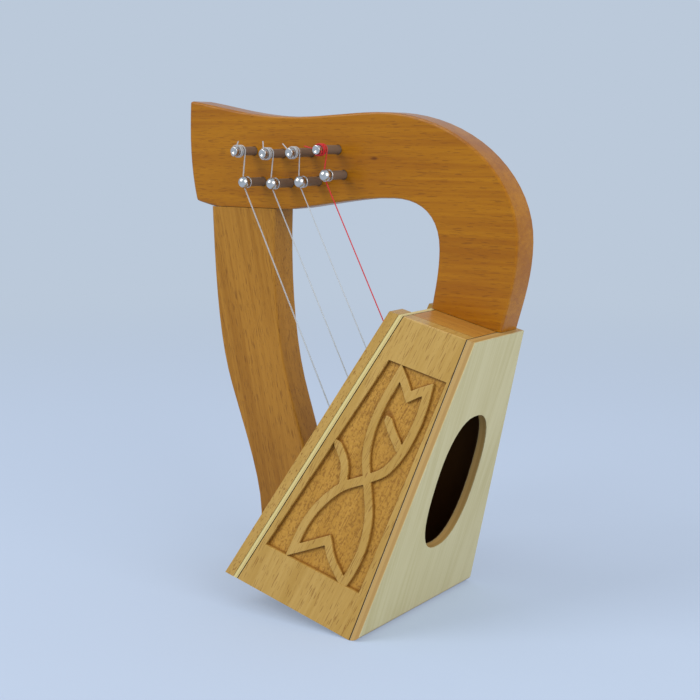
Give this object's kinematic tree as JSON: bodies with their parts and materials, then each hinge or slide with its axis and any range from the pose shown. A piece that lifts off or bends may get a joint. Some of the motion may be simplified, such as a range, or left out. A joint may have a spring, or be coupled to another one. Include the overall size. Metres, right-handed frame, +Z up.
{
  "type": "harp",
  "caption": "Small standing harp: curved neck board on a tapered soundbox with an oval sound hole, curved pillar, tuning pins, bridge pins and strings.",
  "frame": {"origin": "on the floor, under the middle of the harp's box", "axes": "+Z up, +X from the pillar to the soundbox's back, +Y from the side with the pins to the far side"},
  "size_m": [0.232, 0.118, 0.2893],
  "materials": {
    "neck_wood": "lacquered beech, warm brown",
    "pillar_wood": "lacquered beech",
    "side_wood": "lacquered beech, light",
    "birch_ply": "pale birch ply, satin",
    "inner_wood": "plain beech, unfinished",
    "pin_steel": "nickelled steel",
    "clear_nylon": "clear nylon",
    "red_nylon": "red nylon"
  },
  "bodies": {
    "harp": {"neck": "neck_wood", "pillar": "pillar_wood", "side_panel_near": "side_wood", "side_panel_far": "side_wood", "back_panel": "birch_ply", "soundboard": "birch_ply", "soundboard_trim_near": "side_wood", "soundboard_trim_far": "side_wood", "top_block": "inner_wood", "bottom_panel": "inner_wood", "bottom_block": "inner_wood", "string_rib": "inner_wood", "neck_dowel_1": "inner_wood", "neck_dowel_2": "inner_wood", "pillar_dowel_1": "inner_wood", "pillar_dowel_2": "inner_wood", "foot_screw_1": "pin_steel", "foot_screw_2": "pin_steel", "bridge_pin_1": "pin_steel", "bridge_pin_2": "pin_steel", "bridge_pin_3": "pin_steel", "bridge_pin_4": "pin_steel", "string_1": "clear_nylon", "string_2": "clear_nylon", "string_3": "clear_nylon", "string_4": "red_nylon"},
    "tuning_pin_1": {"tuning_pin_1": "pin_steel", "string_winding_1": "clear_nylon"},
    "tuning_pin_2": {"tuning_pin_2": "pin_steel", "string_winding_2": "clear_nylon"},
    "tuning_pin_3": {"tuning_pin_3": "pin_steel", "string_winding_3": "clear_nylon"},
    "tuning_pin_4": {"tuning_pin_4": "pin_steel", "string_winding_4": "red_nylon"}
  },
  "joints": [
    {"name": "tuning_1", "type": "hinge", "parent": "harp", "child": "tuning_pin_1", "pos_m": [-0.06369, 0.0054, 0.25916], "axis": [0, 1, 0], "range_deg": [-90, 270]},
    {"name": "tuning_2", "type": "hinge", "parent": "harp", "child": "tuning_pin_2", "pos_m": [-0.04129, 0.0054, 0.25786], "axis": [0, 1, 0], "range_deg": [-90, 270]},
    {"name": "tuning_3", "type": "hinge", "parent": "harp", "child": "tuning_pin_3", "pos_m": [-0.02009, 0.0054, 0.25856], "axis": [0, 1, 0], "range_deg": [-90, 270]},
    {"name": "tuning_4", "type": "hinge", "parent": "harp", "child": "tuning_pin_4", "pos_m": [-0.00109, 0.0054, 0.26026], "axis": [0, 1, 0], "range_deg": [-90, 270]}
  ]
}
